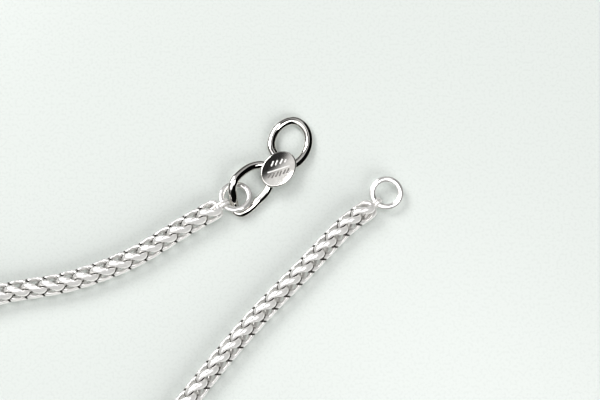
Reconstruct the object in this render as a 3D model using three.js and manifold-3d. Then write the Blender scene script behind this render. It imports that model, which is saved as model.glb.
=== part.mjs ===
// Silver foxtail chain bracelet, laid open on a flat surface: a woven chain with a
// closed end ring on each end, and an S-shaped hook with an oval tag soldered over its
// middle. One loop of the hook is closed on the left end ring, the other is free.
// Millimetres, +Z up, the surface at Z = 0.
import * as THREE from 'three';
import { mergeVertices } from 'three/addons/utils/BufferGeometryUtils.js';
import Module from 'manifold-3d';

const wasm = await Module();
wasm.setup();

// Chain
const CHAIN_WIDTH = 3.0;
const CHAIN_SIDES = 8;
const CHAIN_STEPS = 48;
const CHAIN_HEIGHT = CHAIN_WIDTH / 2;

// Bow: the last link's loop, which stands upright around the end ring's wire
const BOW_WIRE = 0.5;
const BOW_SIDES = 8;
const BOW_STEPS = 20;
const BOW_BEND_POINTS = 6;
const BOW_ROOT = 0.8;

// End rings
const RING_WIRE = 0.8;
const RING_RADIUS = 2.0;
const RING_SIDES = 10;
const RING_STEPS = 36;
const RING_GAP = 0.26;

// Hook
const HOOK_WIRE = 1.08;
const HOOK_SIDES = 10;
const HOOK_STEPS = 84;

// Tag
const TAG_HALF_LENGTH = 2.92;
const TAG_HALF_WIDTH = 2.25;
const TAG_THICKNESS = 0.52;
const TAG_BEVEL = 0.14;
const TAG_CENTRE = { x: -3.07, y: 4.02, z: 1.92 };
const TAG_TURN = THREE.MathUtils.degToRad(50);

// Each end ring: its centre, the way the chain points where it meets the ring (degrees
// from +X), and how far its front edge is lifted (degrees about +X).
const LEFT_RING = { x: -9.16, y: 0.10, z: 1.36, heading: 34, tilt: -12 };
const RIGHT_RING = { x: 12.29, y: 0.67, z: 1.35, heading: 46, tilt: 5 };

// The chain's centre line between its two end rings, from the left ring round to the
// right one. Columns: x, y.
const CHAIN_ROUTE = [
  [-16.1, -4.3],
  [-23.6, -8.8],
  [-32.4, -12.0],
  [-42.8, -14.6],
  [-51.3, -17.9],
  [-57.8, -24.2],
  [-60.0, -32.6],
  [-57.2, -41.4],
  [-49.8, -47.6],
  [-40.6, -49.5],
  [-31.2, -46.7],
  [-22.6, -39.6],
  [-15.5, -30.0],
  [-6.1, -17.9],
  [1.3, -10.3],
  [6.9, -4.1],
];

// The hook's wire, from the tip of the free loop to the tip of the closed loop.
// Columns: x, y, z.
const HOOK_ROUTE = [
  [-3.43, 6.11, 0.95],
  [-4.09, 7.54, 0.85],
  [-4.00, 8.91, 0.70],
  [-3.29, 10.37, 0.60],
  [-2.00, 11.39, 0.57],
  [-0.71, 11.61, 0.57],
  [0.43, 10.94, 0.57],
  [1.14, 9.61, 0.57],
  [1.17, 7.88, 0.66],
  [0.50, 6.19, 0.90],
  [-0.57, 5.02, 1.12],
  [-2.29, 4.40, 1.24],
  [-4.14, 4.46, 1.28],
  [-5.64, 4.88, 1.38],
  [-7.14, 4.67, 1.60],
  [-8.50, 3.76, 1.92],
  [-9.39, 2.40, 2.18],
  [-9.56, 1.05, 2.14],
  [-9.06, -0.02, 1.50],
  [-9.04, -1.10, 0.78],
  [-8.78, -1.98, 0.57],
  [-7.95, -2.12, 0.57],
  [-7.07, -1.26, 0.57],
  [-5.93, -0.17, 0.63],
  [-4.93, 0.91, 0.76],
  [-4.29, 2.12, 0.92],
];

function silver(color, roughness) {
  return new THREE.MeshStandardMaterial({ color, roughness, metalness: 1 });
}

// A round or many-sided wire section with a flat side down
function section(width, sides) {
  const radius = width / 2 / Math.cos(Math.PI / sides);
  const shape = new THREE.Shape();
  for (let side = 0; side < sides; side += 1) {
    const angle = ((side + 0.5) * 2 * Math.PI) / sides;
    const x = radius * Math.cos(angle);
    const y = radius * Math.sin(angle);
    if (side === 0) shape.moveTo(x, y);
    else shape.lineTo(x, y);
  }
  shape.closePath();
  return shape;
}

function wireAlong(points, width, sides, steps) {
  const extrudePath = new THREE.CatmullRomCurve3(points, false, 'centripetal');
  return new THREE.ExtrudeGeometry(section(width, sides), { steps, extrudePath });
}

function toSolid(geometry) {
  const bare = geometry.clone();
  bare.deleteAttribute('normal');
  bare.deleteAttribute('uv');
  const merged = mergeVertices(bare, 1e-4);
  return new wasm.Manifold(new wasm.Mesh({
    numProp: 3,
    vertProperties: new Float32Array(merged.attributes.position.array),
    triVerts: new Uint32Array(merged.index.array),
  }));
}

function toGeometry(solid) {
  const mesh = solid.getMesh();
  const geometry = new THREE.BufferGeometry();
  geometry.setAttribute('position', new THREE.BufferAttribute(mesh.vertProperties, 3));
  geometry.setIndex(new THREE.BufferAttribute(mesh.triVerts, 1));
  geometry.computeVertexNormals();
  return geometry;
}

function joined(geometries) {
  const solids = geometries.map(toSolid);
  return toGeometry(solids.reduce((whole, solid) => whole.add(solid)));
}

function named(name, geometry, material) {
  const mesh = new THREE.Mesh(geometry, material);
  mesh.name = name;
  return mesh;
}

// Where the chain meets a ring: the wire's centre there, the chain's heading, and the
// height of the wire, which the ring's tilt sets.
function ringMeeting(ring) {
  const heading = THREE.MathUtils.degToRad(ring.heading);
  const forward = new THREE.Vector3(Math.cos(heading), Math.sin(heading), 0);
  const wire = new THREE.Vector3(ring.x, ring.y, ring.z).addScaledVector(forward, -RING_RADIUS);
  wire.z -= RING_RADIUS * Math.sin(heading) * Math.sin(THREE.MathUtils.degToRad(ring.tilt));
  return { forward, wire };
}

function chainEnd(ring) {
  const { forward, wire } = ringMeeting(ring);
  const end = wire.clone().addScaledVector(forward, -(RING_WIRE / 2 + RING_GAP));
  end.z = CHAIN_HEIGHT;
  return end;
}

// Out of the chain's end, over the ring's wire, round it and back underneath
function bow(ring) {
  const { forward, wire } = ringMeeting(ring);
  const bend = RING_WIRE / 2 + RING_GAP + BOW_WIRE / 2;
  const at = (along, up) => wire.clone().addScaledVector(forward, along).setZ(wire.z + up);
  const points = [at(-BOW_ROOT - bend, bend)];
  for (let step = 0; step <= BOW_BEND_POINTS; step += 1) {
    const angle = Math.PI / 2 - (step * Math.PI) / BOW_BEND_POINTS;
    points.push(at(bend * Math.cos(angle), bend * Math.sin(angle)));
  }
  points.push(at(-BOW_ROOT - bend, -bend));
  return wireAlong(points, BOW_WIRE, BOW_SIDES, BOW_STEPS);
}

function makeChain() {
  const route = CHAIN_ROUTE.map(([x, y]) => new THREE.Vector3(x, y, CHAIN_HEIGHT));
  route.unshift(chainEnd(LEFT_RING));
  route.push(chainEnd(RIGHT_RING));
  const tube = wireAlong(route, CHAIN_WIDTH, CHAIN_SIDES, CHAIN_STEPS);
  const bows = [LEFT_RING, RIGHT_RING].map(bow);
  return named('chain', joined([tube, ...bows]), silver(0xc4bcb9, 0.25));
}

function makeRing(name, ring) {
  const shape = new THREE.TorusGeometry(RING_RADIUS, RING_WIRE / 2, RING_SIDES, RING_STEPS);
  const mesh = named(name, shape, silver(0xd6d3cf, 0.15));
  mesh.position.set(ring.x, ring.y, ring.z);
  mesh.rotation.x = THREE.MathUtils.degToRad(ring.tilt);
  return mesh;
}

function tagPlate() {
  const outline = new THREE.Shape();
  const length = TAG_HALF_LENGTH - TAG_BEVEL;
  const width = TAG_HALF_WIDTH - TAG_BEVEL;
  outline.absellipse(0, 0, length, width, 0, 2 * Math.PI, false, 0);
  const plate = new THREE.ExtrudeGeometry(outline, {
    depth: TAG_THICKNESS - 2 * TAG_BEVEL,
    curveSegments: 20,
    bevelThickness: TAG_BEVEL,
    bevelSize: TAG_BEVEL,
    bevelSegments: 2,
  });
  plate.translate(0, 0, TAG_BEVEL - TAG_THICKNESS / 2);
  plate.rotateZ(TAG_TURN);
  plate.translate(TAG_CENTRE.x, TAG_CENTRE.y, TAG_CENTRE.z);
  return plate;
}

function roundTip([x, y, z]) {
  const tip = new THREE.SphereGeometry(HOOK_WIRE / 2, HOOK_SIDES, 6);
  tip.translate(x, y, z);
  return tip;
}

function makeHook() {
  const route = HOOK_ROUTE.map((point) => new THREE.Vector3(...point));
  const wire = wireAlong(route, HOOK_WIRE, HOOK_SIDES, HOOK_STEPS);
  const tips = [HOOK_ROUTE[0], HOOK_ROUTE[HOOK_ROUTE.length - 1]].map(roundTip);
  return named('s_hook', joined([wire, ...tips, tagPlate()]), silver(0xcfccc8, 0.12));
}

const bracelet = new THREE.Group();
bracelet.add(makeChain());
bracelet.add(makeRing('end_ring_left', LEFT_RING));
bracelet.add(makeRing('end_ring_right', RIGHT_RING));
bracelet.add(makeHook());

// The origin goes on the surface, under the middle of the whole bracelet
const bounds = new THREE.Box3().setFromObject(bracelet);
const middle = bounds.getCenter(new THREE.Vector3());
bracelet.position.set(-middle.x, -middle.y, 0);

export default bracelet;
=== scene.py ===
"""Silver foxtail chain bracelet, unfastened and lying open on a pale surface.

The chain is drawn as loop-in-loop weaving is: every link is a closed wire loop, folded double
and laid into the one before it. Only the weave's skin is true to the real one: inside it the
wires run into one another. Shapes are drawn in millimetres and placed in metres, in the frame
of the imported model.
"""

import math

import bpy
import numpy as np
from mathutils import Matrix, Vector


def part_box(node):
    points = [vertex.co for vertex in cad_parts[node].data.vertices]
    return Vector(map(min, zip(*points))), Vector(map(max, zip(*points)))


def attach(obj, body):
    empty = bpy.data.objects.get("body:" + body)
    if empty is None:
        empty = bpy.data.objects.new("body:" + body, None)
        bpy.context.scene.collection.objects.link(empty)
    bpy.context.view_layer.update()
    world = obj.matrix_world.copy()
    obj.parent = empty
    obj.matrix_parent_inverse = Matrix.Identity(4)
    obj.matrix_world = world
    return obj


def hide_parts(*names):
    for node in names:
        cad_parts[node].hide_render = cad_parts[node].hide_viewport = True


bl_info = {
    "name": "Silver foxtail bracelet",
    "version": (1, 0, 0),
    "blender": (4, 5, 0),
    "location": "3D View > Sidebar > Bracelet",
    "description": "Builds a foxtail chain bracelet with an S-hook clasp around its packed frame",
    "category": "Object",
}

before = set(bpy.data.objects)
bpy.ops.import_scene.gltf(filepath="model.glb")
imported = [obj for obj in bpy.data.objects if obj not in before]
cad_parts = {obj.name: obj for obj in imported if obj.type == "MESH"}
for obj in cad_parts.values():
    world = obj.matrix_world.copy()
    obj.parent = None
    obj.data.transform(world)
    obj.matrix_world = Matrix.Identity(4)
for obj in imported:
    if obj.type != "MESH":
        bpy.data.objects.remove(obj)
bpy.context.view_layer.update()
MM = 0.001

# The end rings, in the millimetres of the part's own drawing: centre, the way the chain
# points where it meets the ring, and how far the ring's front edge is lifted, in degrees.
LEFT_RING = {
    "node": "end_ring_left", "x": -9.16, "y": 0.10, "z": 1.36, "heading": 34, "tilt": -12}
RIGHT_RING = {
    "node": "end_ring_right", "x": 12.29, "y": 0.67, "z": 1.35, "heading": 46, "tilt": 5}
RING_RADIUS = 2.0
RING_WIRE = 0.8
RING_STEPS = 120
RING_SIDES = 28

# The chain's centre line from the left ring round to the right one: x, y in millimetres.
# CHAIN_GAP is the room between each of its ends and the ring's wire.
CHAIN_GAP = 0.11
CHAIN_HEIGHT = 1.5
CHAIN_ROUTE = (
    (-16.1, -4.15), (-23.6, -8.85), (-31.9, -12.1), (-42.8, -14.3), (-51.3, -17.9), (-57.8, -24.2),
    (-60.0, -32.6), (-57.2, -41.4), (-49.8, -47.6), (-40.6, -49.5), (-31.2, -46.7), (-22.6, -39.6),
    (-15.9, -29.6), (-6.3, -17.7), (1.0, -10.0), (6.75, -3.95),
)

# The hook's wire from the free loop's tip to the closed loop's tip: x, y, z in millimetres
HOOK_ROUTE = (
    (-3.43, 6.11, 0.95), (-4.09, 7.54, 0.85), (-4.00, 8.91, 0.70), (-3.29, 10.37, 0.60),
    (-2.00, 11.39, 0.57), (-0.71, 11.61, 0.57), (0.43, 10.94, 0.57), (1.14, 9.61, 0.57),
    (1.17, 7.88, 0.66), (0.50, 6.19, 0.90), (-0.57, 5.02, 1.12), (-2.29, 4.40, 1.24),
    (-4.14, 4.46, 1.28), (-5.62, 4.80, 1.38), (-7.02, 4.44, 1.60), (-8.26, 3.50, 1.92),
    (-9.20, 2.38, 2.18), (-9.62, 1.24, 2.06), (-9.48, 0.16, 1.46), (-9.34, -0.86, 0.78),
    (-9.16, -1.80, 0.57), (-8.33, -2.18, 0.57), (-7.30, -1.62, 0.57), (-5.93, -0.30, 0.63),
    (-4.85, 0.82, 0.76), (-4.20, 2.12, 0.92),
)
HOOK_STEPS = 320
HOOK_SIDES = 40
# The hook's wire lies at least this far above the floor, in millimetres
HOOK_LIFT = 0.02

TAG_CENTRE = (-3.07, 4.02, 1.92)
TAG_RIM = 0.16
TAG_CELLS = 120

# Plain strokes on the tag, in its own millimetres: from x, y to x, y. The long one parts
# the two rows.
UPPER_STROKES = (
    ((-1.62, -0.62), (1.72, 0.52)), ((-1.04, 0.32), (-0.68, 1.18)),
    ((-0.44, 0.46), (-0.10, 1.32)), ((0.20, 0.66), (0.60, 1.50)),
    ((0.86, 0.88), (1.10, 1.44)),
)
LOWER_STROKES = (
    ((-1.50, -1.34), (-1.16, -0.70)), ((-0.96, -1.42), (-0.58, -0.56)),
    ((-0.44, -1.22), (0.02, -0.38)), ((0.12, -1.10), (0.42, -0.22)),
    ((0.64, -0.82), (1.04, -0.08)), ((1.14, -0.62), (1.52, 0.10)),
)
# How wide the strokes are and how deep they sink in the tag's face, in millimetres, and how
# far they lean back from the tag's long axis, in radians
STROKE_WIDTH = 0.25
STROKE_SINK = 0.06
STROKE_LEAN = 0.87
STROKE_POINTS = 24
STROKE_SIDES = 12
# How clean a stroke is, read as the gap between wires is: 1 is bare, 0 is black. The lower
# row has kept more tarnish.
UPPER_STROKE_CLEAN = 0.62
LOWER_STROKE_CLEAN = 0.41

# A quarter of one link, from the middle of its folded wire up to the tip of one loop, in
# millimetres: across the fold, between the two wires, along the chain.
LINK_QUARTER = (
    (0.00, 0.46, 0.00), (0.62, 0.47, 0.10), (1.05, 0.55, 0.60), (1.10, 0.85, 1.25),
    (0.80, 0.95, 1.95), (0.50, 0.62, 2.60), (0.42, 0.00, 2.85),
)
# A wire comes near itself only where it is this many of its own diameters further along.
# NOTHING_NEAR stands for a gap with no other wire in sight, in millimetres.
OWN_WIRE_APART = 2.2
NOTHING_NEAR = 9.0
# Where the tarnish ends, out from the weave's middle, and the room it fades over, and the gap
# between two wires at which the painted shade in their crease is gone: all in millimetres
TARNISH_OUT_TO = 0.45
TARNISH_FADE = 0.75
CREASE_REACH = 0.28

# The small loops that hold the chain to a ring: how loosely they go round its wire and how
# far they reach back into the chain, in millimetres, how much narrower and lower they are
# there, and how far apart the two of a pair lie, in diameters of their wire
LOOP_GAP = 0.09
LOOP_REACH = 2.3
LOOP_BACK_SHARE = (0.55, 0.62, 0.0)
LOOP_SPACING = 1.04
LOOP_BEND_POINTS = 17
LOOP_STEPS = 64
LOOP_SIDES = 16


# ---------------------------------------------------------------- shapes

def shift_to_frame():
    """How far the drawing's origin lies from the frame's, in millimetres."""
    low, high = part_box(LEFT_RING["node"])
    middle = (low + high) / 2 / MM
    return middle.x - LEFT_RING["x"], middle.y - LEFT_RING["y"]


def placed(points):
    """Drawing millimetres to frame metres."""
    dx, dy = shift_to_frame()
    return (np.asarray(points, float) + (dx, dy, 0.0)) * MM


def spline(points, closed=False, per_span=14):
    """A centripetal Catmull-Rom curve through the points, as the part's own routes are."""
    points = np.asarray(points, float)
    count = len(points)
    if closed:
        ring = np.vstack([points[-1:], points, points[:2]])
        spans = count
    else:
        first = 2 * points[0] - points[1]
        last = 2 * points[-1] - points[-2]
        ring = np.vstack([first, points, last])
        spans = count - 1
    out = []
    for span in range(spans):
        p0, p1, p2, p3 = ring[span:span + 4]
        t1 = np.linalg.norm(p1 - p0) ** 0.5
        t2 = t1 + np.linalg.norm(p2 - p1) ** 0.5
        t3 = t2 + np.linalg.norm(p3 - p2) ** 0.5
        for t in np.linspace(t1, t2, per_span, endpoint=False):
            a1 = (t1 - t) / t1 * p0 + t / t1 * p1
            a2 = (t2 - t) / (t2 - t1) * p1 + (t - t1) / (t2 - t1) * p2
            a3 = (t3 - t) / (t3 - t2) * p2 + (t - t2) / (t3 - t2) * p3
            b1 = (t2 - t) / t2 * a1 + t / t2 * a2
            b2 = (t3 - t) / (t3 - t1) * a2 + (t - t1) / (t3 - t1) * a3
            out.append((t2 - t) / (t2 - t1) * b1 + (t - t1) / (t2 - t1) * b2)
    if not closed:
        out.append(points[-1])
    return np.array(out)


def along(curve, distances):
    """Points at the given distances along a polyline."""
    steps = np.linalg.norm(np.diff(curve, axis=0), axis=1)
    length = np.concatenate([[0.0], np.cumsum(steps)])
    return np.stack([np.interp(distances, length, curve[:, axis]) for axis in range(3)], axis=1)


def length_of(curve):
    """How long a polyline is."""
    return float(np.linalg.norm(np.diff(curve, axis=0), axis=1).sum())


def evenly(curve, count, closed=False):
    """The curve cut into equal steps."""
    if closed:
        whole = np.vstack([curve, curve[:1]])
        return along(whole, np.linspace(0.0, length_of(whole), count, endpoint=False))
    return along(curve, np.linspace(0.0, length_of(curve), count))


def unit(vectors):
    """The vectors, each made one long."""
    return vectors / np.linalg.norm(vectors, axis=-1, keepdims=True)


def turned(x, y, angle):
    """Points x, y turned about the middle by an angle, or by one angle each."""
    return x * np.cos(angle) - y * np.sin(angle), x * np.sin(angle) + y * np.cos(angle)


def directions(path, closed):
    """The way a path runs at each of its points."""
    if closed:
        return unit(np.roll(path, -1, 0) - np.roll(path, 1, 0))
    return unit(np.gradient(path, axis=0))


def skin_faces(count, sides, closed):
    """The faces of a bar with so many rims of so many sides. An open bar gets its two ends."""
    rows = np.arange(count if closed else count - 1)
    here = rows[:, None] * sides + np.arange(sides)[None, :]
    there = ((rows + 1) % count)[:, None] * sides + np.arange(sides)[None, :]
    corners = [here, np.roll(here, -1, 1), np.roll(there, -1, 1), there]
    faces = np.stack(corners, axis=-1).reshape(-1, 4).tolist()
    if not closed:
        faces.append(list(range(sides))[::-1])
        faces.append([(count - 1) * sides + side for side in range(sides)])
    return faces


def joined(parts):
    """Several parts, each vertices and faces, as one."""
    all_vertices, all_faces, used = [], [], 0
    for vertices, faces in parts:
        all_vertices.append(vertices)
        all_faces.extend([corner + used for corner in face] for face in faces)
        used += len(vertices)
    return np.vstack(all_vertices), all_faces


def wire_mesh(path, radius, sides, closed):
    """Vertices and faces of a round wire. radius is one number or one for each point."""
    count = len(path)
    radii = np.broadcast_to(radius, (count,))
    tangents = directions(path, closed)
    steep = abs(tangents[0][2]) >= 0.9
    start = (1.0, 0.0, 0.0) if steep else (0.0, 0.0, 1.0)
    normal = unit(np.cross(np.cross(tangents[0], start), tangents[0]))
    normals = [normal]
    for tangent in tangents[1:]:
        normal = unit(normal - normal.dot(tangent) * tangent)
        normals.append(normal)
    normals = np.array(normals)
    turn = 0.0
    if closed:
        last = unit(normals[-1] - normals[-1].dot(tangents[0]) * tangents[0])
        turn = math.atan2(np.cross(last, normals[0]).dot(tangents[0]), last.dot(normals[0]))
    angles = np.arange(sides) * 2 * math.pi / sides
    angles = angles[None, :] + turn * np.arange(count)[:, None] / count
    binormals = np.cross(tangents, normals)
    rims = (
        np.cos(angles)[..., None] * normals[:, None, :]
        + np.sin(angles)[..., None] * binormals[:, None, :]
    )
    vertices = (path[:, None, :] + radii[:, None, None] * rims).reshape(-1, 3)
    return vertices, skin_faces(count, sides, closed)


def cast_bar_mesh(path, scale, section, closed=False):
    """Vertices and faces of a bar with its section kept upright.

    section is a ring of (sideways, up) points, and scale shrinks it at each point of the path."""
    count, sides = len(path), len(section)
    tangents = directions(path, closed)
    across = unit(np.cross(tangents, (0.0, 0.0, 1.0)))
    upright = np.cross(across, tangents)
    sideways, up = section[None, :, :1], section[None, :, 1:]
    rims = sideways * across[:, None, :] + up * upright[:, None, :]
    vertices = (path[:, None, :] + scale[:, None, None] * rims).reshape(-1, 3)
    return vertices, skin_faces(count, sides, closed)


def rounded_radii(path, radius):
    """A wire's radius at each point, closing to a round tip at both ends."""
    steps = np.linalg.norm(np.diff(path, axis=0), axis=1)
    here = np.concatenate([[0.0], np.cumsum(steps)])
    to_end = np.minimum(here, here[-1] - here)
    inside = np.clip(1.0 - to_end / radius, 0.0, 1.0)
    smallest = 0.02
    return radius * np.sqrt(np.clip(1.0 - inside ** 2, smallest ** 2, 1.0))


def low_dome_section(radius, crown, sides):
    """A cast bar's section: a low dome on top, then full and round down to the bottom."""
    angles = np.arange(sides) * 2 * math.pi / sides
    shoulder = radius * 0.22
    up = np.cos(angles)
    height = np.where(up > 0, crown * up, (radius + shoulder) * up) + shoulder
    return np.stack([radius * np.sin(angles), height], axis=1)


def tip_steps(curve, radius, count):
    """The curve in equal steps, with extra ones where its tips close."""
    total = length_of(curve)
    tip = radius * (1.0 - np.cos(np.linspace(0.0, math.pi / 2, 9)))
    middle = np.linspace(radius, total - radius, count)
    return along(curve, np.concatenate([tip[:-1], middle, (total - tip)[::-1][1:]]))


def add_piece(name, vertices, faces, material, nodes):
    """One visible piece: its mesh, finish and place in the frame."""
    mesh = bpy.data.meshes.new(name)
    mesh.from_pydata(np.asarray(vertices).tolist(), [], faces)
    mesh.validate()
    mesh.shade_smooth()
    mesh.materials.append(material)
    piece = bpy.data.objects.new(name, mesh)
    bpy.context.scene.collection.objects.link(piece)
    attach(piece, "root")
    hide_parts(*nodes)
    return piece


def add_layer(piece, name, values):
    """A value stored on every vertex of a piece, for its finish to read."""
    layer = piece.data.attributes.new(name, "FLOAT", "POINT")
    spread = np.broadcast_to(np.asarray(values, np.float32), (len(piece.data.vertices),))
    layer.data.foreach_set("value", np.ascontiguousarray(spread))


# ---------------------------------------------------------------- finishes

def hex_colour(text):
    """An sRGB hex colour as linear red, green, blue and alpha."""
    channels = [int(text[start:start + 2], 16) / 255 for start in (1, 3, 5)]
    linear = [
        value / 12.92 if value <= 0.04045 else ((value + 0.055) / 1.055) ** 2.4
        for value in channels
    ]
    return (*linear, 1.0)


def node(tree, kind, settings=(), inputs=(), links=()):
    """Adds one node, with its settings, its input values and the links into it."""
    made = tree.nodes.new(kind)
    for name, value in dict(settings).items():
        setattr(made, name, value)
    for name, value in dict(inputs).items():
        made.inputs[name].default_value = value
    for name, socket in dict(links).items():
        tree.links.new(socket, made.inputs[name])
    return made


def new_material(name):
    """An empty material and its node tree."""
    material = bpy.data.materials.new(name)
    material.use_nodes = True
    material.node_tree.nodes.clear()
    return material, material.node_tree


def close_material(tree, shader):
    """Puts the shader on the surface."""
    node(tree, "ShaderNodeOutputMaterial", links={"Surface": shader.outputs["BSDF"]})


def ramp(tree, factor, stops):
    """A colour ramp with (place, linear colour) stops."""
    made = node(tree, "ShaderNodeValToRGB", links={"Fac": factor})
    elements = made.color_ramp.elements
    while len(elements) < len(stops):
        elements.new(0.5)
    for element, (place, colour) in zip(elements, stops):
        element.position = place
        element.color = colour
    return made


# How much smoother and rougher than its setting a silver surface is from place to place
WEAR = (0.7, 1.5)


def polished_silver(finish):
    """Sterling silver, buffed to a mirror and then worn: sharp bright and dark reflections,
    broken a little by hair-fine scratches about 0.05 mm apart, and by patches of wear about
    0.9 mm across."""
    material, tree = new_material("sterling_silver_polished")
    place = node(tree, "ShaderNodeTexCoord").outputs["Object"]
    waves = node(
        tree, "ShaderNodeTexNoise",
        inputs={"Scale": 1 / (0.9 * MM), "Detail": 3.0, "Roughness": 0.5},
        links={"Vector": place},
    )
    scratches = node(
        tree, "ShaderNodeTexNoise",
        inputs={"Scale": 1 / (0.05 * MM), "Detail": 2.0, "Roughness": 0.7, "Distortion": 1.2},
        links={"Vector": place},
    )
    rough = node(
        tree, "ShaderNodeMapRange",
        inputs={
            "To Min": finish.polished_roughness * WEAR[0],
            "To Max": finish.polished_roughness * WEAR[1],
        },
        links={"Value": waves.outputs["Fac"]},
    )
    bump = node(
        tree, "ShaderNodeBump",
        inputs={"Strength": 0.06, "Distance": 0.01 * MM},
        links={"Height": scratches.outputs["Fac"]},
    )
    colour = ramp(
        tree, waves.outputs["Fac"], ((0.3, hex_colour("#E6E3DE")), (0.7, finish.polished_colour)))
    shader = node(
        tree, "ShaderNodeBsdfPrincipled",
        inputs={"Metallic": 1.0},
        links={
            "Base Color": colour.outputs["Color"],
            "Roughness": rough.outputs["Result"],
            "Normal": bump.outputs["Normal"],
        },
    )
    close_material(tree, shader)
    return material


def tumbled_silver(name, mirror, finish):
    """Sterling silver wire, drawn, worked and tumbled bright: softer reflections than the clasp's,
    with a thin grey tarnish left deep in the weave, and painted shade: dark lines in the creases
    between wires.

    mirror is the share of the skin that mirrors. The rest is the white that pickling leaves.
    The tumbling's dents are really finer than 0.1 mm, and are drawn 0.35 mm across to show."""
    material, tree = new_material(name)
    place = node(tree, "ShaderNodeTexCoord").outputs["Object"]
    depth = node(tree, "ShaderNodeAttribute", settings={"attribute_name": "weave_depth"})
    grain = node(
        tree, "ShaderNodeTexNoise",
        inputs={"Scale": 1 / (0.35 * MM), "Detail": 4.0, "Roughness": 0.6},
        links={"Vector": place},
    )
    skin = ramp(
        tree, depth.outputs["Fac"],
        ((0.0, finish.tarnish), (1.0, finish.chain_colour)),
    )
    # Painted shade: the skin darkens to nearly black where another wire comes close, as shade
    # falls in the creases.
    gap = node(tree, "ShaderNodeAttribute", settings={"attribute_name": "weave_gap"})
    crease_shade = ramp(
        tree, gap.outputs["Fac"],
        ((0.35, finish.crease_shade), (0.48, hex_colour("#A8A5A2")), (0.60, hex_colour("#FFFFFF"))),
    )
    # The tarnish deep in the weave, times the painted crease shade.
    tarnish = node(
        tree, "ShaderNodeMix", settings={"data_type": "RGBA", "blend_type": "MULTIPLY"},
        inputs={0: 1.0}, links={6: skin.outputs["Color"], 7: crease_shade.outputs["Color"]})
    mottle = node(
        tree, "ShaderNodeMapRange",
        inputs={"To Min": 0.90, "To Max": 1.04},
        links={"Value": grain.outputs["Fac"]},
    )
    colour = node(
        tree, "ShaderNodeVectorMath",
        settings={"operation": "SCALE"},
        links={"Vector": tarnish.outputs[2], "Scale": mottle.outputs["Result"]},
    )
    rough = node(
        tree, "ShaderNodeMapRange",
        inputs={
            "To Min": finish.chain_roughness * WEAR[0],
            "To Max": finish.chain_roughness * WEAR[1],
        },
        links={"Value": grain.outputs["Fac"]},
    )
    bump = node(
        tree, "ShaderNodeBump",
        inputs={"Strength": 0.10, "Distance": 0.02 * MM},
        links={"Height": grain.outputs["Fac"]},
    )
    shader = node(
        tree, "ShaderNodeBsdfPrincipled",
        inputs={"Metallic": mirror},
        links={
            "Base Color": colour.outputs["Vector"],
            "Roughness": rough.outputs["Result"],
            "Normal": bump.outputs["Normal"],
        },
    )
    close_material(tree, shader)
    return material


def floor_lacquer(stage):
    """Satin white lacquered board: pale, with a faint soft reflection of what lies on it.

    The lacquer's grain is really too fine to show, and is drawn 0.4 mm across."""
    material, tree = new_material("floor_satin_lacquer")
    place = node(tree, "ShaderNodeTexCoord").outputs["Object"]
    grain = node(
        tree, "ShaderNodeTexNoise", inputs={"Scale": 1 / (0.4 * MM)}, links={"Vector": place})
    rough = node(
        tree, "ShaderNodeMapRange",
        inputs={"To Min": stage.floor_roughness * 0.8, "To Max": stage.floor_roughness * 1.2},
        links={"Value": grain.outputs["Fac"]},
    )
    shader = node(
        tree, "ShaderNodeBsdfPrincipled",
        inputs={"Base Color": stage.floor_colour},
        links={"Roughness": rough.outputs["Result"]},
    )
    close_material(tree, shader)
    return material


# ---------------------------------------------------------------- settings

class BraceletChain(bpy.types.PropertyGroup):
    """Sizes of the chain and how finely its links are drawn"""
    pitch: bpy.props.FloatProperty(
        name="Pitch", description="From one link to the next, before the links are spread evenly",
        default=2.45 * MM, min=1.5 * MM, max=4 * MM, unit="LENGTH", precision=5)
    wire: bpy.props.FloatProperty(
        name="Wire", description="Diameter of the links' wire",
        default=1.00 * MM, min=0.2 * MM, max=1.5 * MM, unit="LENGTH", precision=5)
    end_wire: bpy.props.FloatProperty(
        name="End wire", description="Diameter of the wire of the loops round the end rings",
        default=0.42 * MM, min=0.2 * MM, max=1.0 * MM, unit="LENGTH", precision=5)
    draw_reach: bpy.props.FloatProperty(
        name="Draw plate radius", description="Radius of the hole that the chain is drawn through",
        default=1.5 * MM, min=1.2 * MM, max=3 * MM, unit="LENGTH", precision=5)
    draw_corner: bpy.props.FloatProperty(
        name="Draw plate press", description="How far inside that radius the wire flattens",
        default=0.3 * MM, min=0.05 * MM, max=1 * MM, unit="LENGTH", precision=5)
    link_twist: bpy.props.FloatProperty(
        name="Link twist", description="The slight twist that drawing gives each link, end to end",
        default=math.radians(-46), subtype="ANGLE")
    steps: bpy.props.IntProperty(
        name="Steps", description="Steps along one link's wire", default=72, min=24, max=128)
    sides: bpy.props.IntProperty(
        name="Sides", description="Sides of the wire's section", default=20, min=6, max=24)
    left_roll: bpy.props.FloatProperty(
        name="Left roll", description="How the weave is turned about its axis at the left end",
        default=math.radians(145), subtype="ANGLE")
    right_roll: bpy.props.FloatProperty(
        name="Right roll", description="How the weave is turned about its axis at the right end",
        default=math.radians(132), subtype="ANGLE")


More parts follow.
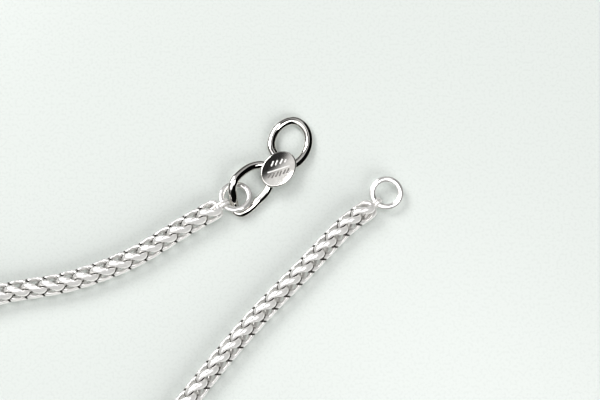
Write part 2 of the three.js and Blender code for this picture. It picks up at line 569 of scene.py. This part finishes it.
class BraceletClasp(bpy.types.PropertyGroup):
    """Sizes of the hook, the tag and the rings"""
    hook_wire: bpy.props.FloatProperty(
        name="Hook wire", description="Diameter of the hook's wire",
        default=1.22 * MM, min=0.4 * MM, max=2 * MM, unit="LENGTH", precision=5)
    hook_crown: bpy.props.FloatProperty(
        name="Hook crown", description="Height of the low dome along the top of the hook",
        default=0.40 * MM, min=0.05 * MM, max=1 * MM, unit="LENGTH", precision=5)
    ring_crown: bpy.props.FloatProperty(
        name="Ring crown", description="Height of the low dome along the top of the end rings",
        default=0.16 * MM, min=0.02 * MM, max=1 * MM, unit="LENGTH", precision=5)
    tag_length: bpy.props.FloatProperty(
        name="Tag length", description="The oval tag's longer diameter",
        default=5.84 * MM, min=3 * MM, max=10 * MM, unit="LENGTH", precision=5)
    tag_width: bpy.props.FloatProperty(
        name="Tag width", description="The oval tag's shorter diameter",
        default=4.50 * MM, min=2 * MM, max=8 * MM, unit="LENGTH", precision=5)
    tag_thickness: bpy.props.FloatProperty(
        name="Tag thickness", description="Thickness of the tag's plate",
        default=0.52 * MM, min=0.2 * MM, max=1 * MM, unit="LENGTH", precision=5)
    tag_dome: bpy.props.FloatProperty(
        name="Tag dome", description="How far the middle of the tag's face stands above its rim",
        default=0.07 * MM, min=0.0, max=0.5 * MM, unit="LENGTH", precision=5)
    tag_turn: bpy.props.FloatProperty(
        name="Tag turn", description="The way the tag's longer diameter points, from +X",
        default=math.radians(50), subtype="ANGLE")


class BraceletFinish(bpy.types.PropertyGroup):
    """Colours and polish of the silver"""
    polished_colour: bpy.props.FloatVectorProperty(
        name="Polished silver", description="Colour of the hook and tag",
        size=4, min=0.0, max=1.0, subtype="COLOR", default=hex_colour("#F3F0EC"))
    polished_roughness: bpy.props.FloatProperty(
        name="Polished roughness", description="Roughness of the hook and tag",
        default=0.05, min=0.0, max=1.0, subtype="FACTOR")
    chain_colour: bpy.props.FloatVectorProperty(
        name="Chain silver", description="Colour of the rings and the chain's outer wire",
        size=4, min=0.0, max=1.0, subtype="COLOR", default=hex_colour("#F7F5F2"))
    tarnish: bpy.props.FloatVectorProperty(
        name="Tarnish", description="Colour of the silver deep in the weave",
        size=4, min=0.0, max=1.0, subtype="COLOR", default=hex_colour("#EEEBE8"))
    # Painted shade: the colour of the dark lines in the creases between wires.
    crease_shade: bpy.props.FloatVectorProperty(
        name="Creases", description="Colour of the thin dark lines where wires touch",
        size=4, min=0.0, max=1.0, subtype="COLOR", default=hex_colour("#24211F"))
    chain_mirror: bpy.props.FloatProperty(
        name="Chain mirror", description="Share of the chain's skin that mirrors; the rest is "
        "the white skin that pickling leaves, which scatters the light",
        default=0.47, min=0.0, max=1.0, subtype="FACTOR")
    ring_mirror: bpy.props.FloatProperty(
        name="Ring mirror", description="Share of the end rings' skin that mirrors",
        default=0.72, min=0.0, max=1.0, subtype="FACTOR")
    stroke_mirror: bpy.props.FloatProperty(
        name="Stroke mirror", description="Share of the tag's strokes that mirrors",
        default=0.2, min=0.0, max=1.0, subtype="FACTOR")
    chain_roughness: bpy.props.FloatProperty(
        name="Chain roughness", description="Roughness of the chain, the rings and the strokes",
        default=0.11, min=0.0, max=1.0, subtype="FACTOR")


class BraceletStage(bpy.types.PropertyGroup):
    """The floor, the camera and the lights"""
    floor_colour: bpy.props.FloatVectorProperty(
        name="Floor", description="Colour of the floor's lacquer",
        size=4, min=0.0, max=1.0, subtype="COLOR", default=hex_colour("#D0D5D1"))
    floor_roughness: bpy.props.FloatProperty(
        name="Floor roughness", description="Roughness of the floor's lacquer",
        default=0.28, min=0.0, max=1.0, subtype="FACTOR")
    camera_elevation: bpy.props.FloatProperty(
        name="Camera elevation", description="The camera's height above the horizon",
        default=math.radians(75), subtype="ANGLE")
    view_width: bpy.props.FloatProperty(
        name="View width", description="Width of the floor that the camera sees at its middle",
        default=600 / 7 * MM, min=0.02, max=0.5, unit="LENGTH")
    lens: bpy.props.FloatProperty(
        name="Lens", description="Focal length of the camera, in millimetres of film",
        default=100.0, min=20.0, max=300.0, subtype="DISTANCE_CAMERA")
    key_power: bpy.props.FloatProperty(
        name="Key light", description="Power of the large soft light behind on the left",
        default=2.2, min=0.0, unit="POWER")
    fill_power: bpy.props.FloatProperty(
        name="Fill light", description="Power of the wide soft light in front on the right, "
        "which doesn't show in the silver", default=44.0, min=0.0, unit="POWER")
    strip_power: bpy.props.FloatProperty(
        name="Strip light", description="Power of the long narrow light overhead",
        default=0.45, min=0.0, unit="POWER")
    fill_strength: bpy.props.FloatProperty(
        name="Surroundings", description="Brightness of the studio all around",
        default=0.95, min=0.0)


# ---------------------------------------------------------------- chain

def ring_meeting(ring):
    """Where the chain meets a ring: the wire's centre there, and the chain's heading."""
    heading = math.radians(ring["heading"])
    forward = np.array((math.cos(heading), math.sin(heading), 0.0))
    wire = np.array((ring["x"], ring["y"], ring["z"])) - RING_RADIUS * forward
    wire[2] -= RING_RADIUS * math.sin(heading) * math.sin(math.radians(ring["tilt"]))
    return wire, forward


def chain_route():
    """The chain's centre line, from ring to ring, in drawing millimetres."""
    ends = []
    for ring in (LEFT_RING, RIGHT_RING):
        wire, forward = ring_meeting(ring)
        end = wire - (RING_WIRE / 2 + CHAIN_GAP) * forward
        ends.append((end[0], end[1], CHAIN_HEIGHT))
    points = [(x, y, CHAIN_HEIGHT) for x, y in CHAIN_ROUTE]
    return spline([ends[0], *points, ends[1]], per_span=40)


def link_loop(steps, twist):
    """One link's closed centre line in millimetres, folded and twisted."""
    quarter = np.array(LINK_QUARTER)
    down = quarter[::-1][1:]
    loop = np.vstack([
        quarter,
        down * (1, -1, 1),
        quarter[1:] * (-1, -1, 1),
        down[:-1] * (-1, 1, 1),
    ])
    x, y, z = evenly(spline(loop, closed=True), steps, closed=True).T
    return np.stack([*turned(x, y, twist * (z / z.max() - 0.5)), z], axis=1)


def drawn_down(across, rise, reach, corner):
    """Presses what stands out of the weave in, to the round of a draw plate's hole.

    reach is the hole's radius. corner is how far inside it the wire starts to flatten."""
    distance = np.hypot(across, rise)
    start = reach - corner
    over = np.clip(distance - start, 0.0, None)
    pressed = start + corner * (1.0 - np.exp(-over / corner))
    share = np.where(distance > start, pressed / np.maximum(distance, 1e-9), 1.0)
    return across * share, rise * share


def crease_gaps(loop, straight, pitch, wire, sides, neighbours):
    """How far each point of one link's skin is from the nearest other wire, in millimetres.

    neighbours says which links lie near: 1 is the next one, -1 the one before."""
    count = len(loop)
    nearest = np.full(len(straight), NOTHING_NEAR)
    for links_on in neighbours:
        other = loop + (0.0, 0.0, links_on * pitch)
        gaps = np.linalg.norm(straight[:, None, :] - other[None, :, :], axis=2)
        nearest = np.minimum(nearest, gaps.min(axis=1) - wire / 2)
    step = length_of(np.vstack([loop, loop[:1]])) / count
    apart = np.abs(np.arange(count)[:, None] - np.arange(count)[None, :])
    apart = np.minimum(apart, count - apart) * step
    gaps = np.linalg.norm(straight[:, None, :] - loop[None, :, :], axis=2)
    far_along = np.repeat(apart, sides, axis=0) > OWN_WIRE_APART * wire
    gaps = np.where(far_along, gaps, NOTHING_NEAR)
    return np.minimum(nearest, gaps.min(axis=1) - wire / 2)


def weave(route, chain):
    """All the links along a route, as vertices, faces and two values for each vertex.

    The values run from 0 to 1: how far out in the weave the vertex lies, and how far from the
    nearest other wire."""
    wire = chain.wire / MM
    total = length_of(route)
    link_length = LINK_QUARTER[-1][2]
    room = total - wire - link_length
    count = round(room / (chain.pitch / MM)) + 1
    pitch = room / (count - 1)
    loop = link_loop(chain.steps, chain.link_twist)
    straight, faces = wire_mesh(loop, wire / 2, chain.sides, True)
    faces = np.array(faces)
    first, inner, last = [
        crease_gaps(loop, straight, pitch, wire, chain.sides, neighbours)
        for neighbours in ((1, 2), (-2, -1, 1, 2), (-2, -1))
    ]
    tangents = unit(np.gradient(route, axis=0))
    lengths = np.linalg.norm(np.diff(route, axis=0), axis=1)
    places = np.concatenate([[0.0], np.cumsum(lengths)])
    all_vertices, all_faces, depths = [], [], []
    for link in range(count):
        here = wire / 2 + link * pitch + straight[:, 2]
        roll = chain.left_roll + (chain.right_roll - chain.left_roll) * here / total
        tangent = unit(np.stack(
            [np.interp(here, places, tangents[:, axis]) for axis in range(3)], axis=1))
        side = unit(np.cross(tangent, (0.0, 0.0, 1.0)))
        up = np.cross(side, tangent)
        across, rise = turned(straight[:, 0], straight[:, 1], roll)
        across, rise = drawn_down(across, rise, chain.draw_reach / MM, chain.draw_corner / MM)
        all_vertices.append(along(route, here) + across[:, None] * side + rise[:, None] * up)
        all_faces.append(faces + link * len(straight))
        depths.append(np.hypot(across, rise))
    gaps = np.concatenate([first] + [inner] * (count - 2) + [last])
    layers = {
        "weave_depth": np.clip(
            (np.concatenate(depths) - TARNISH_OUT_TO) / TARNISH_FADE, 0.0, 1.0),
        "weave_gap": np.clip(gaps / CREASE_REACH, 0.0, 1.0),
    }
    return np.vstack(all_vertices), np.vstack(all_faces).tolist(), layers


def end_loops(ring, chain):
    """The two small loops, side by side, that hold one end of the chain to its ring."""
    wire, forward = ring_meeting(ring)
    across = np.array((-forward[1], forward[0], 0.0))
    up = np.array((0.0, 0.0, 1.0))
    thickness = chain.end_wire / MM
    bend = (RING_WIRE + thickness) / 2 + LOOP_GAP
    angles = np.linspace(-math.pi / 2, math.pi / 2, LOOP_BEND_POINTS)
    front = np.stack([bend * np.cos(angles), bend * np.sin(angles), 0 * angles], axis=1)
    back = -front * LOOP_BACK_SHARE - (LOOP_REACH, 0.0, 0.0)
    outline = spline(np.vstack([front, back]), closed=True, per_span=4)
    outline = evenly(outline, LOOP_STEPS, closed=True)
    path = wire + outline[:, :1] * forward + outline[:, 1:2] * up
    shift = LOOP_SPACING * thickness / 2 * across
    return joined([
        wire_mesh(path + side * shift, thickness / 2, LOOP_SIDES, True) for side in (-1, 1)])


class BRACELET_OT_chain(bpy.types.Operator):
    """Weaves the foxtail chain, link through link, and its end loops"""
    bl_idname = "bracelet.chain"
    bl_label = "Foxtail chain"

    def execute(self, context):
        chain = context.scene.bracelet_chain
        finish = context.scene.bracelet_finish
        material = tumbled_silver("sterling_silver_tumbled", finish.chain_mirror, finish)
        vertices, faces, layers = weave(chain_route(), chain)
        piece = add_piece(
            "foxtail_chain", placed(vertices), faces, material, ["chain"])
        for name, values in layers.items():
            add_layer(piece, name, values)
        for ring in (LEFT_RING, RIGHT_RING):
            vertices, faces = end_loops(ring, chain)
            piece = add_piece(
                ring["node"].replace("ring", "loops"), placed(vertices), faces, material,
                ["chain"])
            for name in layers:
                add_layer(piece, name, 1.0)
        return {"FINISHED"}


# ---------------------------------------------------------------- rings and clasp

class BRACELET_OT_end_rings(bpy.types.Operator):
    """Makes the two closed end rings"""
    bl_idname = "bracelet.end_rings"
    bl_label = "End rings"

    def execute(self, context):
        clasp = context.scene.bracelet_clasp
        finish = context.scene.bracelet_finish
        material = tumbled_silver("sterling_silver_ring", finish.ring_mirror, finish)
        for ring in (LEFT_RING, RIGHT_RING):
            angles = np.linspace(0, 2 * math.pi, RING_STEPS, endpoint=False)
            tilt = math.radians(ring["tilt"])
            x = RING_RADIUS * np.cos(angles)
            y = RING_RADIUS * np.sin(angles)
            path = np.stack([x, y * math.cos(tilt), y * math.sin(tilt)], axis=1)
            path = path + (ring["x"], ring["y"], ring["z"])
            section = low_dome_section(RING_WIRE / 2, clasp.ring_crown / MM, RING_SIDES)
            vertices, faces = cast_bar_mesh(path, np.ones(len(path)), section, closed=True)
            piece = add_piece(
                ring["node"] + "_wire", placed(vertices), faces, material,
                [ring["node"]])
            for name in ("weave_depth", "weave_gap"):
                add_layer(piece, name, 1.0)
        return {"FINISHED"}


def tag_plate(clasp):
    """The oval plate in millimetres: flat underneath, rounded at its rim, barely domed."""
    length = clasp.tag_length / MM / 2
    width = clasp.tag_width / MM / 2
    thickness = clasp.tag_thickness / MM
    line = np.linspace(-1.0, 1.0, TAG_CELLS + 1)
    u, v = np.meshgrid(line, line, indexing="ij")
    x = u * np.sqrt(1 - v ** 2 / 2)
    y = v * np.sqrt(1 - u ** 2 / 2)
    radius = np.sqrt(x ** 2 + y ** 2)
    edge = np.clip((1.0 - radius) * width / TAG_RIM, 0.0, 1.0)
    rounding = TAG_RIM * (1 - np.sqrt(np.clip(1 - (1 - edge) ** 2, 0, 1)))
    top = thickness / 2 - rounding - clasp.tag_dome / MM * radius ** 2
    bottom = -thickness / 2 + rounding
    x, y = turned(x * length, y * width, clasp.tag_turn)
    vertices = np.vstack([
        np.stack([x, y, height], axis=-1).reshape(-1, 3) for height in (top, bottom)])
    side = TAG_CELLS + 1
    sheet = side * side
    faces = []
    for i in range(TAG_CELLS):
        for j in range(TAG_CELLS):
            corner = i * side + j
            quad = [corner, corner + side, corner + side + 1, corner + 1]
            faces.append(quad)
            faces.append([place + sheet for place in quad[::-1]])
    border = (
        [i * side for i in range(TAG_CELLS)]
        + [TAG_CELLS * side + j for j in range(TAG_CELLS)]
        + [i * side + TAG_CELLS for i in range(TAG_CELLS, 0, -1)]
        + list(range(TAG_CELLS, 0, -1))
    )
    for here, there in zip(border, border[1:] + border[:1]):
        faces.append([there, here, here + sheet, there + sheet])
    return vertices + TAG_CENTRE, faces


def tag_strokes(clasp):
    """The strokes as thin round-ended ridges, half sunk in the tag's face.

    Gives vertices, faces, and how clean each vertex is."""
    lean = clasp.tag_turn - STROKE_LEAN
    share = np.linspace(0.0, 1.0, STROKE_POINTS)[:, None]
    face = TAG_CENTRE[2] + clasp.tag_thickness / MM / 2
    parts, clean = [], []
    rows = ((UPPER_STROKES, UPPER_STROKE_CLEAN), (LOWER_STROKES, LOWER_STROKE_CLEAN))
    for strokes, value in rows:
        for stroke in strokes:
            start, end = [np.array((*turned(x, y, lean), 0.0)) for x, y in stroke]
            path = start + (end - start) * share
            path += (TAG_CENTRE[0], TAG_CENTRE[1], face - STROKE_SINK)
            part = wire_mesh(path, rounded_radii(path, STROKE_WIDTH / 2), STROKE_SIDES, False)
            parts.append(part)
            clean.extend([value] * len(part[0]))
    return *joined(parts), clean


class BRACELET_OT_s_hook(bpy.types.Operator):
    """Bends the S-shaped hook and solders the oval tag over its middle"""
    bl_idname = "bracelet.s_hook"
    bl_label = "S-hook with tag"

    def execute(self, context):
        clasp = context.scene.bracelet_clasp
        finish = context.scene.bracelet_finish
        material = polished_silver(finish)
        radius = clasp.hook_wire / MM / 2
        curve = spline(HOOK_ROUTE, per_span=24)
        first = curve[0] - unit(curve[1] - curve[0]) * radius
        last = curve[-1] + unit(curve[-1] - curve[-2]) * radius
        path = tip_steps(np.vstack([first, curve, last]), radius, HOOK_STEPS)
        path[:, 2] = np.maximum(path[:, 2], radius + HOOK_LIFT)
        section = low_dome_section(radius, clasp.hook_crown / MM, HOOK_SIDES)
        vertices, faces = cast_bar_mesh(path, rounded_radii(path, radius) / radius, section)
        add_piece("s_hook_wire", placed(vertices), faces, material, ["s_hook"])
        vertices, faces = tag_plate(clasp)
        add_piece("oval_tag", placed(vertices), faces, material, ["s_hook"])
        struck = tumbled_silver("sterling_silver_struck", finish.stroke_mirror, finish)
        vertices, faces, clean = tag_strokes(clasp)
        piece = add_piece(
            "tag_strokes", placed(vertices), faces, struck, ["s_hook"])
        add_layer(piece, "weave_depth", 1.0)
        add_layer(piece, "weave_gap", clean)
        return {"FINISHED"}


# ---------------------------------------------------------------- stage

# What the silver mirrors, laid over one another in this order: the compass bearing it lies at
# (degrees from +X towards +Y), its height above the horizon, the half angles where it is full
# and where it has faded out, its colour and its brightness.
STUDIO_PATCHES = (
    ("window on the left", 203, 68, 19, 24, "#FFFFFF", 1.8),
    ("dark beam behind overhead", 113, 62, 11, 16, "#303030", 1.0),
    ("black cloth on the right", 10, 36, 41, 43, "#060606", 1.0),
    ("dark room in front on the right", -40, 38, 41, 43, "#060606", 1.0),
    ("dark doorway in front", -85, 32, 29, 32, "#0A0A0A", 1.0),
)
# What it mirrors between those: the sine of the height above the horizon, and the colour
STUDIO_HEIGHTS = (
    (0.0, "#202020"), (0.30, "#303030"), (0.52, "#6E6E6E"), (0.66, "#A8A8A8"),
    (0.80, "#C4C4C4"), (0.90, "#E8E8E8"), (1.0, "#F4F4F4"),
)
# The lights: how they stand from the clasp and how large they are, in metres, and their
# bearings and heights in degrees. The floor is twice FLOOR_HALF wide.
KEY_PLACE = (-0.30, 0.30, 0.42)
KEY_SIZE = (0.30, 0.30)
FILL_BEARING = (-52, 30)
FILL_DISTANCE = 2.0
FILL_SIZE = (1.6, 1.6)
STRIP_BEARINGS = ((80, 80), (-15, 70))
STRIP_DISTANCE = 0.6
STRIP_WIDTH = 0.11
FLOOR_HALF = 1.5


def towards(bearing, rise):
    """The direction of a compass bearing and a height above the horizon, in degrees."""
    across, up = math.radians(bearing), math.radians(rise)
    level = math.cos(up)
    return Vector((level * math.cos(across), level * math.sin(across), math.sin(up)))


def surroundings(stage):
    """The studio as the silver mirrors it: windows, boards and dark cloths around and above."""
    world = bpy.data.worlds.new("studio")
    bpy.context.scene.world = world
    world.use_nodes = True
    tree = world.node_tree
    tree.nodes.clear()
    direction = node(tree, "ShaderNodeTexCoord").outputs["Generated"]
    height = node(tree, "ShaderNodeSeparateXYZ", links={"Vector": direction}).outputs["Z"]
    stops = [(place, hex_colour(colour)) for place, colour in STUDIO_HEIGHTS]
    light = ramp(tree, height, stops).outputs["Color"]
    for name, bearing, rise, inner, outer, colour, strength in STUDIO_PATCHES:
        facing = node(
            tree, "ShaderNodeVectorMath", settings={"operation": "DOT_PRODUCT"},
            inputs={1: towards(bearing, rise)}, links={0: direction})
        cover = node(
            tree, "ShaderNodeMapRange", settings={"interpolation_type": "SMOOTHSTEP"},
            inputs={"From Min": math.cos(math.radians(outer)),
                    "From Max": math.cos(math.radians(inner))},
            links={"Value": facing.outputs["Value"]})
        patch = [channel * strength for channel in hex_colour(colour)[:3]] + [1.0]
        light = node(
            tree, "ShaderNodeMix", settings={"data_type": "RGBA", "label": name},
            inputs={7: patch}, links={0: cover.outputs["Result"], 6: light}).outputs[2]
    background = node(
        tree, "ShaderNodeBackground",
        inputs={"Strength": stage.fill_strength}, links={"Color": light})
    node(tree, "ShaderNodeOutputWorld", links={"Surface": background.outputs["Background"]})


def area_light(name, size, power):
    """A soft light with a rectangular face, not yet stood in its place."""
    light = bpy.data.lights.new(name, "AREA")
    light.shape = "RECTANGLE"
    light.size, light.size_y = size
    light.energy = power
    lamp = bpy.data.objects.new(name, light)
    bpy.context.scene.collection.objects.link(lamp)
    return lamp


def soft_light(name, place, target, size, power):
    """A soft light that faces the target."""
    lamp = area_light(name, size, power)
    lamp.location = place
    lamp.rotation_euler = (target - place).to_track_quat("-Z", "Y").to_euler()
    return lamp


def strip_light(middle, power):
    """The long narrow light overhead, from high at the back down to the right."""
    start, end = [middle + STRIP_DISTANCE * towards(*bearing) for bearing in STRIP_BEARINGS]
    along_strip = (end - start).normalized()
    centre = (start + end) / 2
    facing = (centre - middle).normalized()
    sideways = facing.cross(along_strip).normalized()
    facing = along_strip.cross(sideways)
    lamp = area_light("strip", ((end - start).length, STRIP_WIDTH), power)
    turn = Matrix((along_strip, sideways, facing)).transposed().to_4x4()
    lamp.matrix_world = Matrix.Translation(centre) @ turn


class BRACELET_OT_stage(bpy.types.Operator):
    """Lays the pale floor and sets the soft light and the camera"""
    bl_idname = "bracelet.stage"
    bl_label = "Stage"

    def execute(self, context):
        stage = context.scene.bracelet_stage
        corners = [(x * FLOOR_HALF, y * FLOOR_HALF, 0) for x, y in
                   ((-1, -1), (1, -1), (1, 1), (-1, 1))]
        mesh = bpy.data.meshes.new("floor")
        mesh.from_pydata(corners, [], [(0, 1, 2, 3)])
        mesh.materials.append(floor_lacquer(stage))
        floor = bpy.data.objects.new("floor", mesh)
        context.scene.collection.objects.link(floor)
        surroundings(stage)
        middle = Vector(placed([(0.0, 0.0, 0.0)])[0])
        key_place = middle + Vector(KEY_PLACE)
        soft_light("key", key_place, middle, KEY_SIZE, stage.key_power)
        fill_place = middle + FILL_DISTANCE * towards(*FILL_BEARING)
        fill = soft_light("fill", fill_place, middle, FILL_SIZE, stage.fill_power)
        fill.visible_glossy = False
        strip_light(middle, stage.strip_power)
        camera_data = bpy.data.cameras.new("camera")
        camera_data.lens = stage.lens
        distance = stage.view_width * stage.lens / camera_data.sensor_width
        camera_data.clip_start = 0.01
        camera = bpy.data.objects.new("camera", camera_data)
        elevation = stage.camera_elevation
        away = Vector((0.0, -math.cos(elevation), math.sin(elevation)))
        camera.location = middle + distance * away
        camera.rotation_euler = (math.pi / 2 - elevation, 0.0, 0.0)
        context.scene.collection.objects.link(camera)
        context.scene.camera = camera
        context.scene.view_settings.view_transform = "Standard"
        return {"FINISHED"}


class BRACELET_PT_panel(bpy.types.Panel):
    """Lists the bracelet's pieces and their settings"""
    bl_idname = "BRACELET_PT_panel"
    bl_label = "Bracelet"
    bl_space_type = "VIEW_3D"
    bl_region_type = "UI"
    bl_category = "Bracelet"

    def draw(self, context):
        layout = self.layout
        scene = context.scene
        for operator in OPERATORS:
            layout.operator(operator.bl_idname)
        for group in (scene.bracelet_chain, scene.bracelet_clasp, scene.bracelet_finish,
                      scene.bracelet_stage):
            for name in group.__annotations__:
                layout.prop(group, name)


GROUPS = {
    "bracelet_chain": BraceletChain,
    "bracelet_clasp": BraceletClasp,
    "bracelet_finish": BraceletFinish,
    "bracelet_stage": BraceletStage,
}
OPERATORS = (BRACELET_OT_chain, BRACELET_OT_end_rings, BRACELET_OT_s_hook, BRACELET_OT_stage)


def register():
    """Makes the settings and the operators known to Blender."""
    for name, group in GROUPS.items():
        bpy.utils.register_class(group)
        setattr(bpy.types.Scene, name, bpy.props.PointerProperty(type=group))
    for kind in (*OPERATORS, BRACELET_PT_panel):
        bpy.utils.register_class(kind)


def unregister():
    """Takes them away again."""
    for kind in (BRACELET_PT_panel, *reversed(OPERATORS)):
        bpy.utils.unregister_class(kind)
    for name, group in GROUPS.items():
        delattr(bpy.types.Scene, name)
        bpy.utils.unregister_class(group)


def main():
    """Builds the stage and every piece."""
    register()
    bpy.ops.bracelet.stage()
    bpy.ops.bracelet.chain()
    bpy.ops.bracelet.end_rings()
    bpy.ops.bracelet.s_hook()


if __name__ == "__main__":
    main()
